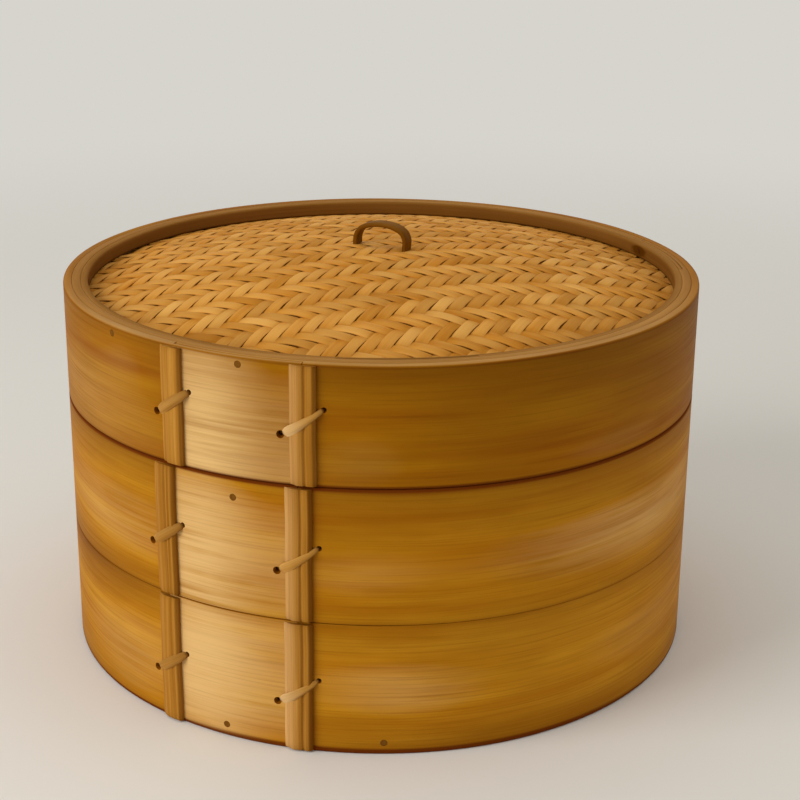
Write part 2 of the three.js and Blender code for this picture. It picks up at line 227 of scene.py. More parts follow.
# Thin split strips for weaving: smooth golden skin, each float of its own tone; the stain colour also paints
# the shade where strips go under and near the rim.
wovenFinish = bamboo("splitBambooWovenStrip", {
    **wallLook, "deep": "cc8122", "light": "e09b38", "fibreTone": "b46f18", "patchTone": "be7418",
    "pale": "f0b760", "stain": "8e520a", "fibre": (30, 0.5, 3.0), "band": (70, 2.5, 2.0),
    "cloud": (40, 12, 2.0), "thread": 0.3, "patch": 0.3, "stroke": 0.7})
# Battens split from the outside of the stalk: upright fibres and a duller face; the stain colour also paints
# the shade in the grooves and on the right edge.
battenFinish = bamboo("splitBambooBatten", {
    **wallLook, "deep": "a86d1b", "light": "c98e3a", "fibreTone": "935b14", "patchTone": "9a6118",
    "pale": "f0c080", "stain": "744204", "fibre": (50, 0.5, 3.0), "band": (110, 1.6, 2.0),
    "cloud": (50, 6, 3.0), "thread": 0.5, "relief": 0.3})
# Cane skin, split off and laid flat: pale and smooth.
caneFinish = bamboo("caneSkinSplit", {
    **wallLook, "deep": "c68b34", "light": "dda654", "fibreTone": "ab722a", "patchTone": "b57b30",
    "pale": "f6d096", "stain": "744514", "fibre": (24, 0.4, 3.0), "band": (40, 1.2, 2.0),
    "cloud": (12, 3, 2.0), "patch": 0.3})
# Peg ends: sawn end grain, brown and dull.
pegFinish = bamboo("bambooPegEndGrain", {
    **wallLook, "deep": "764a10", "light": "8e5c1c", "fibreTone": "5c380a", "patchTone": "663f0c",
    "pale": "a87834", "stain": "4a2004", "fibre": (0.5, 0.5, 3.0), "band": (1.2, 1.2, 2.0),
    "cloud": (2.5, 2.5, 2.0), "rough": 0.7})
# Handle strip: bamboo bent over heat and darkened by hands and steam.
handleFinish = bamboo("splitBambooBentHandle", {
    **wallLook, "deep": "693d02", "light": "825008", "fibreTone": "502e02", "patchTone": "5a3503",
    "pale": "a8741e", "stain": "341b06", "fibre": (40, 0.5, 4.0), "band": (60, 1.4, 2.0),
    "cloud": (14, 4, 3.0), "thread": 0.45})
print("finishes ready:", len(bpy.data.materials))


# A tube: section i of the path has corners points[i, j] in mm.
# The sections are joined in turn and the two ends are capped.
def tube(points, along, across, marks=None):
    n, m = points.shape[:2]
    rows, columns = np.meshgrid(np.arange(n - 1), np.arange(m), indexing="ij")
    nextColumn = (columns + 1) % m
    quads = np.stack([rows * m + columns, (rows + 1) * m + columns,
                      (rows + 1) * m + nextColumn, rows * m + nextColumn], -1).reshape(-1, 4)
    caps = np.stack([np.arange(m), (n - 1) * m + np.arange(m)[::-1]])
    u = np.stack([along[rows], along[rows + 1], along[rows + 1], along[rows]], -1).reshape(-1, 4)
    v = np.stack([across[columns], across[columns],
                  across[columns + 1], across[columns + 1]], -1).reshape(-1, 4)
    grid = np.stack([u, v], -1)
    capGrid = np.stack([points[0, :, :2], points[-1, ::-1, :2]])
    verts = points.reshape(-1, 3)
    # the volume's sign shows whether the faces look outwards
    a, b, c, d = np.moveaxis(verts[quads], 1, 0)
    e, f, g = verts[caps][:, :1], verts[caps][:, 1:-1], verts[caps][:, 2:]
    volume = np.sum(np.cross(a, b) * c) + np.sum(np.cross(a, c) * d) + np.sum(np.cross(e, f) * g)
    if volume < 0:
        quads, grid, caps, capGrid = quads[:, ::-1], grid[:, ::-1], caps[:, ::-1], capGrid[:, ::-1]
    marks = np.zeros((n, m, 2)) if marks is None else marks
    return {"verts": verts, "quads": quads, "grid": grid, "caps": caps, "capGrid": capGrid,
            "marks": marks.reshape(-1, 2)}


def meshOf(name, tubes, sharp=sharpEdge):
    starts = np.cumsum([0] + [len(t["verts"]) for t in tubes])
    faces, grain, marks = [], [], []
    for start, t in zip(starts, tubes):
        faces += (t["quads"] + start).tolist() + (t["caps"] + start).tolist()
        grain += [t["grid"].reshape(-1, 2), t["capGrid"].reshape(-1, 2)]
        marks += [t["marks"][t["quads"].ravel()], t["marks"][t["caps"].ravel()]]
    mesh = bpy.data.meshes.new(name)
    mesh.from_pydata((np.concatenate([t["verts"] for t in tubes]) * mm).tolist(), [], faces)
    mesh.uv_layers.new(name="grain").data.foreach_set("uv", (np.concatenate(grain) * mm).ravel())
    mesh.uv_layers.new(name="marks").data.foreach_set("uv", np.concatenate(marks).ravel())
    mesh.polygons.foreach_set("use_smooth", np.ones(len(mesh.polygons), bool))
    mesh.set_sharp_from_angle(angle=math.radians(sharp))
    return mesh


# A piece stands for one CAD node and rides on that node's body.
def makePiece(node, tubes, material, ending="dressed", sharp=sharpEdge):
    mesh = meshOf(node + "_" + ending, tubes, sharp)
    mesh.materials.append(material)
    piece = bpy.data.objects.new(mesh.name, mesh)
    bpy.context.scene.collection.objects.link(piece)
    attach(piece, frame["nodes"][node]["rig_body"])
    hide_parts(node)
    return piece


# Takes the tubes out of a piece with one Boolean; the cut faces keep the tubes' own marks.
def cutOut(piece, tubes):
    cutter = bpy.data.objects.new("cutter", meshOf("cutter", tubes))
    bpy.context.scene.collection.objects.link(cutter)
    cut = piece.modifiers.new("holes", "BOOLEAN")
    cut.object, cut.operation, cut.solver = cutter, "DIFFERENCE", "EXACT"
    whole = piece.data
    piece.data = bpy.data.meshes.new_from_object(piece.evaluated_get(bpy.context.evaluated_depsgraph_get()))
    piece.modifiers.clear()
    piece.data.set_sharp_from_angle(angle=math.radians(sharpEdge))
    bpy.data.objects.remove(cutter)
    bpy.data.meshes.remove(whole)


# A rounded rectangle as corners: side and level from -1 to 1, and the turn of its edge.
# The long faces have extra rows at the given levels, from high to low.
def roundedSection(levels, bend=4):
    quarter = np.linspace(0, math.pi / 2, bend)
    parts = []
    for k, (x, z) in enumerate(((1, 1), (-1, 1), (-1, -1), (1, -1))):
        a = quarter + k * math.pi / 2
        parts.append(np.stack([np.full(bend, x), np.full(bend, z), np.cos(a), np.sin(a)], -1))
        if k in (1, 3):
            level = levels if k == 1 else levels[::-1]
            face = np.full(len(level), x)
            parts.append(np.stack([face, level, face, np.zeros(len(level))], -1))
    return np.concatenate(parts).T


def perimeter(outline):  # running length round a closed outline of 2-D points
    return runLength(np.vstack([outline, outline[:1]]))


def runLength(path):  # running length along a path
    return np.concatenate([[0], np.cumsum(np.linalg.norm(np.diff(path, axis=0), axis=1))])


def smooth(t):  # eases from 0 to 1
    t = np.clip(t, 0, 1)
    return t * t * (3 - 2 * t)


# A smooth path through corners: each span is a Catmull-Rom curve through its two corners
# and their neighbours.
def smoothPath(corners, steps):
    p = np.vstack([2 * corners[0] - corners[1], corners, 2 * corners[-1] - corners[-2]])
    t = np.linspace(0, 1, steps, endpoint=False)[None, :, None]
    a, b, c, d = p[:-3, None], p[1:-2, None], p[2:-1, None], p[3:, None]
    curve = 0.5 * (2 * b + (c - a) * t + (2 * a - 5 * b + 4 * c - d) * t ** 2
                   + (3 * b - a - 3 * c + d) * t ** 3)
    return np.vstack([curve.reshape(-1, corners.shape[1]), corners[-1:]])


def sidewaysOf(path):  # unit direction to the left of a flat path
    step = np.gradient(path, axis=0)
    step /= np.linalg.norm(step, axis=1)[:, None]
    return np.stack([-step[:, 1], step[:, 0]], -1)


# The plies: radii from the frame. A ply that is nailed to its neighbour closes up to it.
plies = {"wallOuter": boxOf("lower_wall_hoop")[1][0], "wallThick": 3.2,
         "liningOuter": boxOf("lower_lining_hoop")[1][0], "liningThick": 3.2,
         "collarOuter": boxOf("lower_collar_hoop")[1][0], "collarThick": 2.6,
         "closeUp": 0.22, "lapGap": 0.3, "lapLength": 50, "wobble": 0.09, "steps": 320}
wallOuter = plies["wallOuter"]
wallInner = wallOuter - plies["wallThick"]
liningInner = plies["liningOuter"] - plies["liningThick"]
collarInner = plies["collarOuter"] - plies["collarThick"]


def wobble(angle):  # bent bamboo is never quite round
    return plies["wobble"] * (np.sin(3 * angle + 0.7) + 0.6 * np.sin(5 * angle + 2.1)
                              + 0.4 * np.sin(9 * angle))


def apart(s, angle):  # angle from a given one, between -pi and pi
    return np.mod(s - angle + math.pi, fullTurn) - math.pi


def hump(s, place):  # 1 at an angle from the front, fading out over a half width
    return np.exp(-((apart(s, front) - place[0]) / place[1]) ** 2)


# What all hoops share. Rows stand closer near the edges, at these distances from them in mm.
# Each "At" is an angle from the front and a half width, in radians.
hoop = {"shoulder": 0.1, "rows": (0.7, 1.6, 3.2, 6, 10, 15, 21), "rowRoom": 0.6, "thickestBevel": 0.45,
        "ajarAt": (-0.4, 0.5), "leftAt": (-1.1, 0.35), "wideLineAt": (0.15, 0.8), "wideLine": 1.2,
        "lineFade": 0.7, "dirtAndShadeWide": 1.5, "spotLong": 3, "spotStain": 0.85, "topFarShade": 0.3,
        "fadeWide": 0.6}
# The look of a hoop. Pairs are for the lower and the upper edge; the third bevel is the upper edge inside.
# bevel, dip, ajar: how far the edges are rounded, wavy and gaping, in mm
# line, band: stain along an edge, and how wide it is in mm
# shade, leftShade, reach: brown near an edge, steam browning and painted shade together, more of it on the
# left, and how far it reaches in mm
# turn, sheenDull, inside: painted shade on the wall away from the lap, stain on the left that dulls the
# painted sheen there, and painted shade on the inner face
# spots: stain round the inner ends of pegs, as angle, height and radius
# planedTop, topPale: how clean the upper edge is planed, and how pale that leaves it
# lapPaleAndSheen, fade, rest: how pale the lap's face is, scraped and partly a painted sheen, where it fades,
# and the share that is left there
# patches: pale spots, or brown ones below zero, the bamboo's mottling and in places painted sheen and shade:
# degrees from the front, half width, height above the lower edge in mm, half height, amount
# fine: extra columns; edges, dirtAndShade: right edges of the battens with their shares, and the dirt and
# painted shadow there
innerPly = {"bevel": (0.4, 0.25, 0.25), "dip": (0.1, 0.1), "ajar": (0, 0), "line": (0.3, 0.3),
            "band": (0.2, 0.2), "shade": (0.1, 0.1), "leftShade": (0, 0), "reach": 10, "turn": 0, "sheenDull": 0,
            "inside": 0, "spots": (), "planedTop": 0, "topPale": 0.1, "lapPaleAndSheen": 0, "fade": 1, "rest": 0,
            "patches": (), "fine": (), "edges": (), "dirtAndShade": 0}


# A strip bent into a hoop: a rounded section carried once round and on over its own thinned end.
def bentHoop(inner, outer, span, lapSpan, look, seed):
    base, height = span[0], span[1] - span[0]
    middle, gap = (inner + outer) / 2, plies["lapGap"]
    lapFrom, lapTo = lapSpan
    lapEnd = lapFrom + fullTurn
    shoulder = hoop["shoulder"] / outer
    first, last = lapFrom + gap / inner, lapTo + fullTurn - gap / outer
    s = np.concatenate([np.linspace(first, last, plies["steps"]), [lapTo - shoulder, lapTo + shoulder],
                        [lapEnd - shoulder, lapEnd + shoulder], *look["fine"]])
    s = np.unique(s[(s >= first) & (s <= last)])
    low = np.where(s < lapEnd, inner, middle + gap / 2)
    high = np.where(s < lapTo, middle - gap / 2, outer)
    fromEdge = np.array(hoop["rows"])
    rows = 1 - 2 * fromEdge[fromEdge < height / 2 - hoop["rowRoom"]] / height
    side, level, cosTurn, sinTurn = roundedSection(np.concatenate([rows, -rows[::-1]]))
    lowBevel = look["bevel"][0]
    highBevel = np.where(side > 0, look["bevel"][1], look["bevel"][2])
    bevel = np.where(level > 0, highBevel, lowBevel)
    flatBevel = np.minimum(bevel, hoop["thickestBevel"] * (middle - inner))
    half = (high - low)[:, None] / 2
    r = (low + high)[:, None] / 2 + side * (half - flatBevel) + flatBevel * cosTurn + wobble(s)[:, None]
    z = base + lowBevel + (height - lowBevel - highBevel) * (level + 1) / 2 + bevel * sinTurn
    wave = 0.5 + 0.3 * np.sin(4 * s + seed) + 0.2 * np.sin(11 * s + 2 * seed)
    ajar = hump(s, hoop["ajarAt"])
    lowDip, highDip = [look["dip"][k] * wave + look["ajar"][k] * ajar for k in (0, 1)]
    z = z + np.where(level == -1, lowDip[:, None], 0) - np.where(level == 1, highDip[:, None], 0)
    points = np.stack([r * np.cos(s)[:, None], r * np.sin(s)[:, None], z], -1)
    marks = hoopMarks(s, z, side, sinTurn, outer, (base, height), lapSpan, look)
    return tube(points, s * outer + 700 * seed, perimeter(np.stack([r[0], z[0]], -1)) + 90 * seed, marks)


# The marks of a hoop: sums of soft lines, spots and patches over its angle and height.
def hoopMarks(s, z, side, sinTurn, outer, span, lapSpan, look):
    base, height = span
    lapFrom, lapTo = lapSpan
    lapEnd = lapFrom + fullTurn
    outside = side > 0
    stain = np.where(side < 0, look["inside"], np.zeros(z.shape))
    shade = np.zeros(z.shape)
    leftSide = hump(s, hoop["leftAt"])[:, None]
    # stain on the left, which dulls the painted sheen of the pale patches there
    stain += np.where(outside, look["sheenDull"] * leftSide, 0)
    swell = (1 + hoop["wideLine"] * hump(s, hoop["wideLineAt"]))[:, None]
    for k, distance in enumerate((z - base, base + height - z)):
        stain += look["line"][k] * (1 - smooth((distance - look["band"][k] * swell) / hoop["lineFade"]))
        # steam browning and painted shade near each edge, more of it on the left
        atEdge = look["shade"][k] + look["leftShade"][k] * leftSide
        shade += atEdge * np.exp(-np.maximum(distance, 0) / look["reach"])
    # painted shade over the wall away from the lap
    turned = look["turn"] * smooth((s - lapTo) / 0.6) * smooth((lapEnd - 0.7 - s) / 1.2)
    shade += np.where(outside, turned[:, None], 0)
    for edge, share in look["edges"]:  # dirt and a painted shadow lie in the corner to the right of a batten
        right = apart(s, edge) * outer
        fading = np.exp(-(np.maximum(right, 0) / hoop["dirtAndShadeWide"]) ** 1.4)
        corner = np.where(right > -1, share * look["dirtAndShade"] * fading, 0)
        stain += np.where(outside, corner[:, None], 0)
    for angle, spotHeight, radius in look["spots"]:
        away = (apart(s, angle) * outer / (hoop["spotLong"] * radius))[:, None]
        spread = away ** 2 + ((z - spotHeight) / radius) ** 2
        stain += np.where(side < 0, hoop["spotStain"] * np.exp(-spread ** 2), 0)
    topFace = look["planedTop"] * np.clip(sinTurn, 0, 1)
    # the planed top face is painted darker away from the front, as shade
    farShade = hoop["topFarShade"] * smooth((np.abs(apart(s, front)) - 0.8) / 0.7)
    stain = stain * (1 - topFace)
    shade = shade * (1 - topFace) + topFace * farShade[:, None]
    # the lap's face is pale, scraped and partly a painted sheen that fades to the right
    across = np.clip((s - lapEnd) / (lapTo - lapFrom), 0, 1)
    fadeWide = hoop["fadeWide"]
    faded = 1 - (1 - look["rest"]) * smooth((across - look["fade"] + fadeWide / 2) / fadeWide)
    paleAndSheen = np.where(s > lapEnd, look["lapPaleAndSheen"] * faded, 0)[:, None] * outside * (sinTurn < 0.2)
    onWall = (s > lapTo) & (s < lapEnd)
    # pale patches, some of them painted sheen on the left, and brown ones, some of them painted shade
    for angle, width, middle, tall, amount in look["patches"]:
        away = np.degrees(apart(s, front + math.radians(angle)))
        spread = (away / width)[:, None] ** 2 + ((z - base - middle) / tall) ** 2
        paleAndSheen = paleAndSheen + np.where(onWall, amount, 0)[:, None] * np.exp(-spread) * outside
    paleAndSheen = paleAndSheen + look["topPale"] * topFace
    return np.stack([paleAndSheen - shade, stain], -1)


def innerHoop(node, inner, outer, lapAt, material, seed, **changes):
    low, high = boxOf(node)
    lapSpan = front + math.radians(lapAt) + np.array([-0.5, 0.5]) * plies["lapLength"] / outer
    strip = bentHoop(inner, outer, (low[2], high[2]), lapSpan, {**innerPly, **changes}, seed)
    return makePiece(node, [strip], material)


# The three rings of the stack, and the angles from the front, in degrees, at which their inner plies lap.
rings = {
    # the lower ring's stain line along its base is partly a painted contact shadow
    "lower": {
        "finish": lowerFinishWithPaintedLight, "lining": innerFinish, "bevel": (1.1, 0.28, 0.3), "band": (0.9, 0.3),
        "dip": (0.05, 0.06), "ajar": (0, 0.14), "sheenDull": 0.12, "dirtAndShade": 0.55, "line": (0.95, 0.2),
        "shade": (0.55, 0.3), "leftShade": (0.3, 0.7), "planedTop": 0, "lapPaleAndSheen": 1.0, "fade": 0.6,
        "rest": 0.45,
        "patches": ((4, 13, 26, 10, 0.4), (56, 20, 26, 14, 0.2), (-50, 18, 18, 26, 0.36),
                    (-50, 16, 5, 6, 0.22), (20, 16, 4, 8, -0.14), (22, 14, 44, 7, -0.14),
                    (113, 17, 30, 10, 0.24), (158, 26, 19, 13, 0.36), (-118, 20, 27, 14, 0.32),
                    (-166, 15, 40, 7, 0.22), (140, 22, 42, 6, -0.16))},
    "upper": {
        "finish": upperFinish, "lining": innerFinish, "bevel": (0.28, 0.8, 0.3), "band": (0.3, 0.5),
        "dip": (0.06, 0.08), "ajar": (0.14, 0), "sheenDull": 0.04, "dirtAndShade": 0.5, "line": (0.2, 0.95),
        "shade": (0.25, 0.75), "leftShade": (0.45, 0.1), "planedTop": 0, "lapPaleAndSheen": 1.0, "fade": 0.55,
        "rest": 0.38,
        "patches": ((-3, 12, 20, 12, 0.18), (52, 27, 24, 14, 0.53), (-53, 20, 22, 18, 0.38),
                    (46, 26, 37, 2.5, -0.25), (112, 15, 15, 9, 0.24), (152, 20, 33, 9, 0.34),
                    (-172, 24, 15, 10, 0.32), (-114, 22, 27, 13, 0.34), (-145, 20, 44, 5, -0.16))},
    "lid": {
        "finish": lidFinishWithPaintedShade, "lining": rimFinish, "bevel": (0.8, 0.8, 0.15), "band": (0.3, 0.35),
        "dip": (0.08, 0.1), "turn": 0.16, "sheenDull": 0.06, "reach": 18, "dirtAndShade": 0.4, "line": (0.95, 0.5),
        "shade": (0.0, 0.5), "planedTop": 0.9, "topPale": 0.4, "lapPaleAndSheen": 1.0, "fade": 0.55, "rest": 0.4,
        "patches": ((-60, 24, 22, 26, 0.28), (-46, 8, 38, 9, 0.24), (0, 12, 16, 18, 0.17),
                    (44, 24, 7, 9, 0.3), (108, 20, 20, 10, 0.2), (168, 28, 25, 10, 0.28),
                    (-128, 24, 18, 12, 0.28), (140, 26, 8, 5, -0.12))},
}
joints = [(name, hand) for name in rings for hand in hands]
lapPlaces = {"lower": 180, "upper": 180, "lid": 102.5, "retainingRing": 5}
# Battens across their width, from -1 to 1: width, grooves as (place, depth), thickness of the left and
# right edge, how dark the right edge is, stain and painted shade together, and how pale the left one.
stave = {"crown": 1.75, "grooveWide": 0.55, "grooveDeep": 0.5, "stain": 0.62, "seat": 0.15, "endGap": 0.1,
         "endThin": 0.3, "endStain": 0.3, "columns": 81, "rows": 44, "leftSlope": 0.7,
         "rightSlope": (0.74, 0.26), "stainSlope": (0.64, 0.22), "dirtAndShadeShares": (0.3, 1.0),
         "kinds": {"lower_left": (9.5, ((0.4, 0.35),), 0.7, 1.0, 0.55, 0.0),
                   "lower_right": (10.6, ((-0.69, 0.25), (0.34, 0.9)), 0.2, 0.7, 0.85, 0.6),
                   "upper_left": (9.5, ((0.12, 0.6), (0.5, 0.5)), 0.7, 1.0, 0.6, 0.0),
                   "upper_right": (9.9, ((-0.66, 0.3), (0.2, 0.8)), 0.2, 0.7, 0.85, 0.45),
                   "lid_left": (9.5, ((-0.72, 0.4),), 0.6, 1.0, 0.6, 0.0),
                   "lid_right": (9.5, ((-0.7, 0.3), (0.15, 0.8)), 0.2, 0.8, 0.65, 0.35)}}
# Lashings: hole radii at the lower left and upper right, the room beside the strip there,
# and the strip's width at shares of its run.
lash = {"run": 14.3, "rise": 10, "holes": (1.2, 0.85), "open": (1.0, 0.2), "inner": 0.95, "tail": 4.5,
        "thick": 0.5, "neck": 1.7, "shares": (0.05, 0.12, 0.2, 0.35, 0.55, 0.8, 1.0),
        "widths": {"left": (2.8, 3.5, 3.9, 4.0, 4.0, 3.7, 2.4), "right": (3.0, 3.8, 4.0, 3.7, 3.0, 2.2, 1.8)},
        "bleach": {"lower_right": 0.75, "upper_right": 0.1, "lid_right": 0.7},
        # below is painted shade along each strip's lower edge; the hole share darkens the strip in its holes,
        # partly as painted shade
        "dirtAndShade": {"left": 0.28, "right": 0.05}, "below": {"left": 0.28, "right": 0.45},
        "dome": {"left": 0.14, "right": 0.45}, "holeShadeAndStain": 0.75, "narrowStain": 0.25}
lashSpan = math.hypot(lash["run"], lash["rise"])
# Pegs: shares of the radius and stain at six places from the outer end to the inner one.
peg = {"radius": 1.38, "hole": 1.33, "recess": 0.03, "innerRecess": 0.05, "cadRecess": 0.5, "corners": 24,
       "girth": 8.8, "taper": (0.6, 0.93, 1, 1, 0.85, 0.5), "stain": (0.1, 0.15, 0.2, 0.6, 0.8, 0.85)}
# Drilled holes: depths from the wall's face, how much wider a worn hole is there, and the stain inside,
# partly painted shade.
bore = {"depths": (-30.0, -1.4, -0.2, 5.0), "worn": (-0.2, -0.2, 0.25, 0.25), "stain": 0.7, "corners": 24}


def wallAxes(angle):  # along the wall to the right, and outwards
    return np.array([-math.sin(angle), math.cos(angle), 0]), np.array([math.cos(angle), math.sin(angle), 0])


def pegNodes(name):
    return sorted(node for node in frame["nodes"] if node.startswith(name + "_peg_"))


# A drill: a circle carried straight in along the wall's outward direction,
# wider at the surface where the hole is worn.
def drill(angle, offset, height, radius, worn=0):
    along, outward = wallAxes(angle)
    turn = np.linspace(0, fullTurn, bore["corners"], endpoint=False)
    circle = np.cos(turn)[:, None] * along + np.sin(turn)[:, None] * up
    centre = wallOuter * outward + offset * along + height * up
    depths = np.array(bore["depths"])
    wide = radius * (1 + worn * np.array(bore["worn"]))
    points = centre + depths[:, None, None] * outward + wide[:, None, None] * circle
    # the hole's inside is stained, partly as painted shade
    marks = np.zeros((*points.shape[:2], 2)) + (0, bore["stain"])
    return tube(points, depths, np.linspace(0, fullTurn * radius, bore["corners"] + 1), marks)


def makeWalls():
    nearBatten = np.arange(-9, 9.1, 0.75) / wallOuter
    nearPeg = np.arange(-3.1, 3.2, 0.25) / wallOuter  # no column lies on a corner of the hole
    collarOuter = plies["collarOuter"]
    for i, (name, look) in enumerate(rings.items()):
        low, high = boxOf(name + "_wall_hoop")
        pegs = [placeOf(node) for node in pegNodes(name)]
        battens = [placeOf(name + "_batten_" + hand)[0] for hand in hands]
        halves = [stave["kinds"][name + "_" + hand][0] / 2 for hand in hands]
        joint = {"fine": [angle + nearBatten + turn for angle in battens for turn in (0, fullTurn)],
                 "edges": [(angle + half / wallOuter, share)
                           for angle, half, share in zip(battens, halves, stave["dirtAndShadeShares"])]}
        wall = bentHoop(wallInner, wallOuter, (low[2], high[2]), battens,
                        {**innerPly, **look, **joint}, i + 0.3)
        bored = [makePiece(name + "_wall_hoop", [wall], look["finish"])]
        bored.append(innerHoop(
            name + "_lining_hoop", liningInner, plies["liningOuter"] + plies["closeUp"], lapPlaces[name],
            look["lining"], 1.7 + 1.7 * i, planedTop=look["planedTop"], bevel=(0.4, 0.15, 0.15)))
        if name == "lid":
            # the retaining ring's inner face is stained as painted shade, with stain spots round the pegs'
            # inner ends
            bored.append(innerHoop(
                "lid_retaining_ring", collarInner, collarOuter + 1.5 * plies["closeUp"],
                lapPlaces["retainingRing"], rimFinish, 4.4, planedTop=0.6, bevel=(0.4, 0.15, 0.9),
                inside=0.62, fine=[angle + nearPeg + turn for angle, _, _ in pegs for turn in (0, fullTurn)],
                spots=[(angle, height, 1.9) for angle, _, height in pegs]))
            innerHoop("lid_support_ring", collarInner, collarOuter, lapPlaces[name], innerFinish, 5.2)
        else:
            bored.append(innerHoop(name + "_collar_hoop", collarInner, collarOuter, lapPlaces[name],
                                   innerFinish, 0.9 + 2.3 * i))
            floorRing = innerHoop(name + "_floor_ring", collarInner, collarOuter, lapPlaces[name],
                                  innerFinish, 2.9 + 2.7 * i)
            cutOut(floorRing, [notch(name + "_crossbar_" + hand) for hand in hands])
        drills = [drill(angle, 0, height, peg["hole"]) for angle, _, height in pegs]
        worn, narrow = [], []
        for hand, angle in zip(hands, battens):
            height = placeOf(name + "_lashing_" + hand)[2]
            for way, radius, room in zip((-1, 1), lash["holes"], lash["open"]):
                level = height + way * lash["rise"] / 2
                worn.append(drill(angle, way * (lash["run"] / 2 + room), level, radius, worn=1))
                narrow.append(drill(angle, way * lash["run"] / 2, level, lash["inner"]))
        for k, ply in enumerate(bored):
            cutOut(ply, drills + (narrow if k else worn))
    print("walls bent and drilled")


# A notch: a box a little larger than a crossbar, long enough to cut right through the floor ring.
def notch(node, room=0.15, longer=5, higher=2):
    low, high = boxOf(node)
    x = np.array([low[0] - room, high[0] + room, high[0] + room, low[0] - room])
    z = np.array([low[2] - room, low[2] - room, high[2] + higher, high[2] + higher])
    y = np.array([low[1] - longer, high[1] + longer])
    points = np.stack(np.broadcast_arrays(x, y[:, None], z), -1)
    return tube(points, y, perimeter(np.stack([x, z], -1)))


# A batten: across its width the face rises from a thin left edge to a flat crown with V grooves,
# and this outline is carried up the wall.
def makeBatten(name, hand):
    node = name + "_batten_" + hand
    angle = placeOf(node)[0]
    bottom, top = boxOf(node)[0][2], boxOf(node)[1][2]
    along, outward = wallAxes(angle)
    width, grooves, leftEdge, rightEdge, dark, pale = stave["kinds"][name + "_" + hand]
    half, crown = width / 2, stave["crown"]
    x = np.linspace(-1, 1, stave["columns"])
    face = leftEdge + (crown - leftEdge) * smooth((x + 1) / stave["leftSlope"]) ** 0.7
    start, wide = stave["rightSlope"]
    face -= (crown - rightEdge) * np.clip((x - start) / wide, 0, 1) ** 2
    worn = np.zeros(len(x))
    for place, depth in grooves:
        worn = np.maximum(worn, depth * np.exp(-((x - place) * half / stave["grooveWide"]) ** 2))
    face -= stave["grooveDeep"] * worn
    seat = np.sqrt((wallOuter + stave["seat"]) ** 2 - (x * half) ** 2) - wallOuter
    back = slice(None, None, -8)  # the flat back needs fewer columns
    outline = np.vstack([np.stack([x * half, seat + face], -1),
                         np.stack([x[back] * half, seat[back]], -1)])
    # stain in the grooves and on the right edge, partly painted shade there
    start, wide = stave["stainSlope"]
    faceStainAndShade = np.maximum(worn * stave["stain"], dark * smooth((x - start) / wide))
    stain = np.concatenate([faceStainAndShade, dark * (x[back] > 0.5)])
    faded = np.concatenate([pale * (1 - smooth((x + 1) / 1.2)), pale * (x[back] < -0.9)])
    z = np.linspace(bottom + stave["endGap"], top - stave["endGap"], stave["rows"])
    drift = 0.1 * np.sin(z / 9 + 5 * angle) + 0.05 * np.sin(z / 3.7 + 9 * angle)
    fromEnd = np.minimum(z - bottom, top - z)
    thin = np.zeros((len(z), len(outline)))
    thin[:, :len(x)] = stave["endThin"] * np.exp(-fromEnd / 0.7)[:, None]
    points = ((outline[:, 0] + drift[:, None])[..., None] * along
              + (wallOuter + outline[:, 1] - thin)[..., None] * outward) + z[:, None, None] * up
    ends = stave["endStain"] * np.exp(-fromEnd / 1.2)[:, None]
    marks = np.stack([np.broadcast_to(faded, thin.shape), np.clip(stain + ends, 0, 0.9)], -1)
    strip = tube(points, z + 400 * angle, perimeter(outline) + 60 * angle, marks)
    makePiece(node, [strip], battenFinish, sharp=50)


